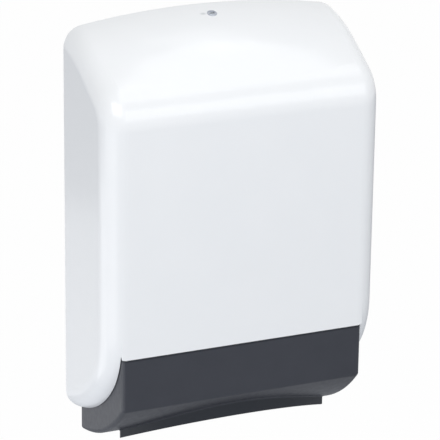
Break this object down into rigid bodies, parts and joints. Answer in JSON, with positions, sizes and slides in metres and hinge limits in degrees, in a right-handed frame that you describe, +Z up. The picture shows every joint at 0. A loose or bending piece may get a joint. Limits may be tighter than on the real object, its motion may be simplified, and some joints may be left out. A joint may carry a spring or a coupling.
{
  "type": "folded paper towel dispenser",
  "caption": "Wall-mounted dispenser for folded paper towels: a lockable hooded cover hinged at its foot over a dark outlet tray with a flared lip.",
  "frame": {"origin": "on the wall face of the back plate, midway between the four wall screws", "axes": "+Z up, +X to the right as seen from the front, -Y out of the wall towards the user"},
  "size_m": [0.3024, 0.1135, 0.4474],
  "materials": {
    "cover_white": "glossy white moulded ABS",
    "tray_dark": "satin anthracite moulded ABS",
    "plate_grey": "matt light grey moulded ABS",
    "zinc": "nickel-plated zinc",
    "steel": "zinc-plated steel"
  },
  "bodies": {
    "base": {"back_plate": "plate_grey", "outlet_tray": "tray_dark", "tray_screws": "steel", "hinge_pin_right": "steel", "hinge_pin_left": "steel", "towel_guide_right": "plate_grey", "towel_guide_left": "plate_grey", "guide_screws": "steel", "catch_hook": "steel", "catch_screws": "steel"},
    "cover": {"cover": "cover_white", "lock_sleeve": "zinc", "lock_washer": "steel", "lock_nut": "zinc"},
    "lock": {"lock_plug": "zinc", "lock_cam": "steel", "cam_screw": "steel"}
  },
  "joints": [
    {"name": "cover_hinge", "type": "hinge", "parent": "base", "child": "cover", "pos_m": [0, -0.0115, -0.19958], "axis": [1, 0, 0], "range_deg": [0, 100]},
    {"name": "lock_turn", "type": "hinge", "parent": "cover", "child": "lock", "pos_m": [0, -0.024, 0.20217], "axis": [0, -0.3033, 0.9529], "range_deg": [-90, 0]}
  ]
}
